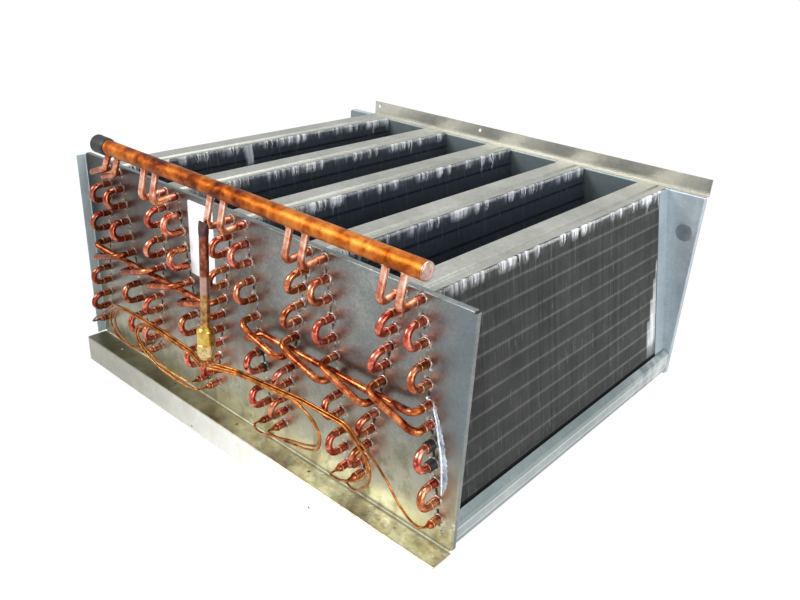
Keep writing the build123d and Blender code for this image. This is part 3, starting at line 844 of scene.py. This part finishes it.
def ring_maker(name, finish):
    """Rings of braze or pressed metal, one at each point, each a little different."""
    maker = Maker(name, {
        "Ring": ("Float", 0.005), "Bead": ("Float", 0.0008), "Squash": ("Float", 1.0),
        "Rough": ("Float", 0.0004), "Seed": ("Int", 1),
    })
    hoop = maker.node("GeometryNodeCurvePrimitiveCircle", {"mode": "RADIUS"}, {
        "Resolution": 20, "Radius": maker.size("Ring"),
    })
    bead = maker.node("GeometryNodeCurvePrimitiveCircle", {"mode": "RADIUS"}, {
        "Resolution": 6, "Radius": maker.size("Bead"),
    })
    ring = maker.node("GeometryNodeCurveToMesh", {}, {0: hoop, 1: bead})
    ring = maker.node("GeometryNodeTransform", {}, {
        "Geometry": ring, "Rotation": (math.pi / 2, 0.0, 0.0),
        "Scale": maker.vector(1.0, 1.0, maker.size("Squash")),
    })
    own = maker.position()
    rings = maker.node("GeometryNodeInstanceOnPoints", {}, {
        "Points": maker.start, "Instance": ring,
        "Scale": maker.node("FunctionNodeRandomValue", {"data_type": "FLOAT_VECTOR"}, {
            0: (0.99, 0.7, 0.99), 1: (1.03, 1.35, 1.03), "Seed": maker.size("Seed"),
        }),
    })
    solid = maker.node("GeometryNodeRealizeInstances", {}, [rings])
    uneven = maker.node("ShaderNodeTexNoise", {}, {"Vector": own, "Scale": 420.0, "Detail": 2.0}, out="Color")
    push = maker.node("ShaderNodeVectorMath", {"operation": "SUBTRACT"}, [uneven, (0.5, 0.5, 0.5)])
    push = maker.node("ShaderNodeVectorMath", {"operation": "SCALE"}, {0: push, "Scale": maker.size("Rough")})
    maker.end(maker.offset(solid, push), finish, smooth=True)
    return maker


def ring_sizes(gap, bead, squash, rough, seed):
    """A ring that lies gap mm off the tube, made from a bead of that radius in mm."""
    return {
        "Ring": (TUBE_R + gap) * MM, "Bead": bead * MM, "Squash": squash, "Rough": rough * MM, "Seed": seed,
    }


# Tubes whose collars burnt black, and where along each tube
BURNT = {
    ("j", 8): (-2.0, -4.6, -7.4, -12.6),
    ("j", 9): (-2.0, -4.4, -6.8, -9.0, -11.6),
    ("f", 8): (-2.0, -4.6, -7.4),
    ("f", 9): (-2.0, -4.0),
}


def tube_rings():
    """Braze at the bells' mouths, collars on both sheets and the charred ones."""
    all_holes = [(column, tube) for column in COLUMNS for tube in range(1, TUBES + 1)]
    braze = ring_maker("braze_rings", finishes["braze"])
    mouths = [on_tube(*place, BELL_FRONT - 0.2) for place in all_holes]
    keep(braze.make("braze_rings", mouths, ring_sizes(0.45, 0.62, 1.0, 0.9, 4)), "tube_copper")
    collars = ring_maker("sheet_collars", finishes["collar"])
    roots = [on_tube(*place, -0.45) for place in all_holes]
    keep(collars.make("sheet_collars", roots, ring_sizes(1.2, 1.15, 1.1, 2.2, 9)), "galvanised_sheet")
    backs = [on_tube(*place, DEPTH + SHEET + 0.25) for place in all_holes]
    keep(collars.make("rear_collars", backs, ring_sizes(0.75, 0.6, 0.8, 0.3, 5)), "galvanised_sheet")
    soot = ring_maker("charred_collars", finishes["soot"])
    spots = [on_tube(*place, y) for place, depths in BURNT.items() for y in depths]
    keep(soot.make("charred_collars", spots, ring_sizes(0.7, 1.5, 1.0, 3.0, 3)), "tube_copper")


# The stubs as the CAD source leads them: the last knee before the header, from the
# tube's mouth, and how far to the right of its tube a stub enters the header
STUB_KNEE = Vector((0, -42.0, 309.5))
OWN_KNEES = {"a": Vector((44, -32.0, 329.0)), "b": Vector((40, -31.0, 324.0))}
STUB_SHIFT = {"a": 61.5, "b": 56.5}


def header_fillets():
    """A fillet of braze where each stub enters the header, lying on both."""
    steps = 28
    rim = 6
    rand = random.Random(7)
    verts = []
    faces = []
    for column in COLUMNS:
        x = hole(column, 1)[0]
        heart = Vector((x + STUB_SHIFT.get(column, 0), HEADER_Y, HEADER_Z))
        start = Vector((x, 0, 0)) + OWN_KNEES.get(column, STUB_KNEE)
        into = (heart - start).normalized()
        right = into.cross(Vector((1, 0, 0)) if abs(into.x) < 0.6 else Vector((0, 1, 0))).normalized()
        up = right.cross(into)
        drop = into - Vector((into.x, 0, 0))
        a = drop.dot(drop)
        first = len(verts)
        for n in range(steps):
            turn = 2 * math.pi * n / steps
            out = right * math.cos(turn) + up * math.sin(turn)
            bulge = 0.9 + rand.random() * 0.7
            # Back along the stub to where its skin meets the header's
            flat = out * TUBE_R - Vector((out.x * TUBE_R, 0, 0))
            b = -flat.dot(drop)
            gap = (b + math.sqrt(max(b * b - a * (flat.dot(flat) - HEADER_R ** 2), 0))) / a
            seat = heart + out * TUBE_R - into * gap
            away = Vector((0, seat.y - HEADER_Y, seat.z - HEADER_Z)).normalized()
            along = (out - away * out.dot(away)).normalized()
            for k in range(rim):
                spin = 2 * math.pi * k / rim
                shift = along * (0.15 + math.cos(spin) * bulge) - into * math.sin(spin) * bulge * 0.8
                verts.append(at(*(seat + shift)))
        for n in range(steps):
            faces += band(first + n * rim, first + (n + 1) % steps * rim, rim)
    return mesh_object("header_fillets", verts, faces, finishes["braze"])


# Pale sealant smeared on the sheet beside the last tubes: centre x, z and half width in mm
SMEAR = [
    (727.0, 196.0, 1.2), (733.0, 190.5, 2.6), (739.5, 182.5, 3.0), (744.5, 172.0, 3.0), (748.2, 160.0, 3.4),
    (751.6, 147.0, 5.2), (754.8, 134.0, 5.8), (757.8, 120.0, 6.4), (760.2, 107.0, 6.2), (761.4, 95.0, 5.4),
    (761.4, 84.0, 4.0), (760.2, 74.0, 1.4),
]
RIDGE = [(x - half * 0.35 + 0.8 * math.sin(z / 9), z, half * 0.26 + 0.25) for x, z, half in SMEAR]


def sealant(name, points, rise, seed, section=14, steps=6):
    """A flattened smear of uneven width along a path on the front sheet, its foot sunk in the zinc."""
    rand = random.Random(seed)
    stations = []
    for n in range((len(points) - 1) * steps + 1):
        first = points[n // steps]
        last = points[min(n // steps + 1, len(points) - 1)]
        part = (n % steps) / steps
        x, z, half = (a + (b - a) * part for a, b in zip(first, last))
        stations.append((Vector((x, z)), half * (0.8 + 0.4 * rand.random()), 0.7 + 0.6 * rand.random()))
    verts = []
    for n, (centre, half, swell) in enumerate(stations):
        ahead = stations[min(n + 1, len(stations) - 1)][0] - stations[max(n - 1, 0)][0]
        across = ahead.normalized().orthogonal()
        for k in range(section):
            turn = 2 * math.pi * k / section
            out = math.cos(turn) * half
            lift = max(math.sin(turn), -0.12) * rise * swell
            verts.append(at(centre.x + across.x * out, -lift, centre.y + across.y * out))
    last_ring = section * (len(stations) - 1)
    faces = [tuple(range(section))]
    for first_point in range(0, last_ring, section):
        faces += band(first_point, first_point + section, section)
    faces.append(tuple(range(last_ring, last_ring + section))[::-1])
    return mesh_object(name, verts, faces, finishes[name.replace("_smear", "")])


def rear_side_fold(column):
    """The strip that the rear sheet lays over the end of an outer slab."""
    side = side_of(column)
    x, z = hole(column, 1)
    out = Vector((side * math.cos(LEAN), 0, math.sin(LEAN)))
    down = Vector((side * math.sin(LEAN), 0, -math.cos(LEAN)))
    inner = FIN_DEPTH / 2 + FOLD_CLEAR
    corners = []
    for lift in (inner, inner + FOLD_THICK):
        for y in (FOLD_START, FIN_END):
            for run in FOLD_RUN:
                corners.append(at(*(Vector((x, y, z)) + out * lift + down * run)))
    return mesh_object("rear_side_fold_" + column, corners, [
        (0, 1, 3, 2), (4, 6, 7, 5), (0, 4, 5, 1), (2, 3, 7, 6), (0, 2, 6, 4), (1, 5, 7, 3),
    ], finishes["rear_sheet"])


def plug_skirt():
    """Rubber skirt of the header's shipping plug, drawn over the tube's end and waisted at its rims."""
    low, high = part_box("header_plug")
    skirt = Maker("plug_skirt", {"Radius": ("Float", SKIRT_R * MM), "Length": ("Float", SKIRT_LONG * MM)})
    sleeve = skirt.node("GeometryNodeMeshCylinder", {"fill_type": "NGON"}, {
        "Vertices": 48, "Side Segments": 14, "Radius": skirt.size("Radius"), "Depth": skirt.size("Length"),
    }, out="Mesh")
    spot = skirt.position()
    z = skirt.node("ShaderNodeSeparateXYZ", {}, [spot]).of("Z")
    waist = (z / skirt.size("Length")).abs().ramp(0.34, 0.52) * -0.09
    sleeve = skirt.offset(sleeve, skirt.node("ShaderNodeVectorMath", {"operation": "MULTIPLY"}, [
        spot, skirt.vector(waist, waist, 0.0),
    ]))
    middle = (low.x + SKIRT_LONG / 2 * MM, (low.y + high.y) / 2, (low.z + high.z) / 2)
    sleeve = skirt.node("GeometryNodeTransform", {}, {
        "Geometry": sleeve, "Rotation": (0.0, math.pi / 2, 0.0), "Translation": middle,
    })
    skirt.end(sleeve, finishes["black_rubber"])
    return skirt.make("plug_skirt", [(0, 0, 0)], {})


fin_slabs()
tube_rings()
keep(face_outwards(header_fillets()), "header_copper")
keep(face_outwards(sealant("sealant_smear", SMEAR, 1.0, 11)), "galvanised_sheet")
keep(face_outwards(sealant("sealant_ridge", RIDGE, 1.9, 5)), "galvanised_sheet")
for outer_slab in ("a", "j"):
    keep(face_outwards(rear_side_fold(outer_slab), False), "galvanised_sheet")
keep(plug_skirt(), "black_rubber")

# Floor, studio and lamps, in metres
FLOOR_HALF = 60
FLOOR_Z = -0.0005
PAPER = (0.86, 0.86, 0.86, 1.0)
WHITE = (1.0, 1.0, 1.0, 1.0)
PAPER_GLOW = 1.02
GLOW_SHARE = 0.96


def floor_paper():
    """Pale paper that the lamps light, shown white to the eye and in reflections."""
    paper = bpy.data.materials.new("floor_paper")
    paper.use_nodes = True
    net = Net(paper.node_tree)
    net.tree.nodes.clear()
    seen = net.node("ShaderNodeLightPath", {}, out="Is Camera Ray")
    seen = seen.most(seen.of("Is Glossy Ray")).most(seen.of("Is Transmission Ray"))
    matt = net.node("ShaderNodeBsdfDiffuse", {}, {"Color": PAPER})
    glow = net.node("ShaderNodeEmission", {}, {"Color": WHITE, "Strength": PAPER_GLOW})
    # Under the part the floor lies in its shadow, which shows through the small holes
    spot = net.node("ShaderNodeSeparateXYZ", {}, [net.node("ShaderNodeTexCoord", {}, out="Object")])
    under = spot.abs().ramp(0.335, 0.32) * spot.of("Y").abs().ramp(0.328, 0.318)
    mixed = net.node("ShaderNodeMixShader", {}, [seen * (GLOW_SHARE - under * 0.9), matt, glow])
    net.node("ShaderNodeOutputMaterial", {}, [mixed])
    return paper


def studio_world():
    """Soft cool light from all round, seen as white."""
    world = bpy.data.worlds.new("studio")
    world.use_nodes = True
    net = Net(world.node_tree)
    net.tree.nodes.clear()
    seen = net.node("ShaderNodeLightPath", {}, out="Is Camera Ray")
    soft = net.node("ShaderNodeBackground", {}, {"Color": (0.93, 0.96, 1.0, 1.0), "Strength": 0.75})
    white = net.node("ShaderNodeBackground", {}, {"Color": WHITE, "Strength": 1.0})
    mixed = net.node("ShaderNodeMixShader", {}, [seen, soft, white])
    net.node("ShaderNodeOutputWorld", {}, [mixed])
    return world


def lamp(name, place, toward, width, height, power):
    data = bpy.data.lights.new(name, "AREA")
    data.shape = "RECTANGLE"
    data.size = width
    data.size_y = height
    data.energy = power
    obj = bpy.data.objects.new(name, data)
    obj.location = place
    obj.rotation_mode = "QUATERNION"
    obj.rotation_quaternion = (Vector(toward) - Vector(place)).to_track_quat("-Z", "Y")
    bpy.context.scene.collection.objects.link(obj)


floor = mesh_object("floor", [
    (-FLOOR_HALF, -FLOOR_HALF, FLOOR_Z), (FLOOR_HALF, -FLOOR_HALF, FLOOR_Z),
    (FLOOR_HALF, FLOOR_HALF, FLOOR_Z), (-FLOOR_HALF, FLOOR_HALF, FLOOR_Z),
], [(0, 1, 2, 3)], floor_paper())
bpy.context.scene.world = studio_world()
lamp("key", (-1.3, -2.2, 2.0), (0.0, -0.2, 0.2), 1.2, 1.0, 60)
lamp("top", (0.2, 0.5, 2.6), (0.0, 0.1, 0.2), 2.4, 2.0, 40)
lamp("right", (2.6, -0.6, 0.9), (0.2, 0.0, 0.2), 1.4, 1.4, 34)

# Camera at the photograph's viewpoint, from the fit on the tube holes
EYE = Vector((0.7910, -0.88718, 0.7173))
RIGHT = Vector((0.7494, 0.6598, 0.0548))
UP = Vector((-0.3205, 0.2891, 0.9021))
BACK = Vector((0.5794, -0.6936, 0.4281))
camera = bpy.data.objects.new("camera", bpy.data.cameras.new("camera"))
camera.data.lens = 35.04
camera.data.sensor_width = 36.0
camera.data.sensor_fit = "HORIZONTAL"
camera.data.clip_start = 0.01
turned = Matrix((RIGHT, UP, BACK)).transposed().to_4x4()
camera.matrix_world = Matrix.Translation(EYE) @ turned
bpy.context.scene.collection.objects.link(camera)
bpy.context.scene.camera = camera

bpy.context.scene.view_settings.view_transform = "Standard"
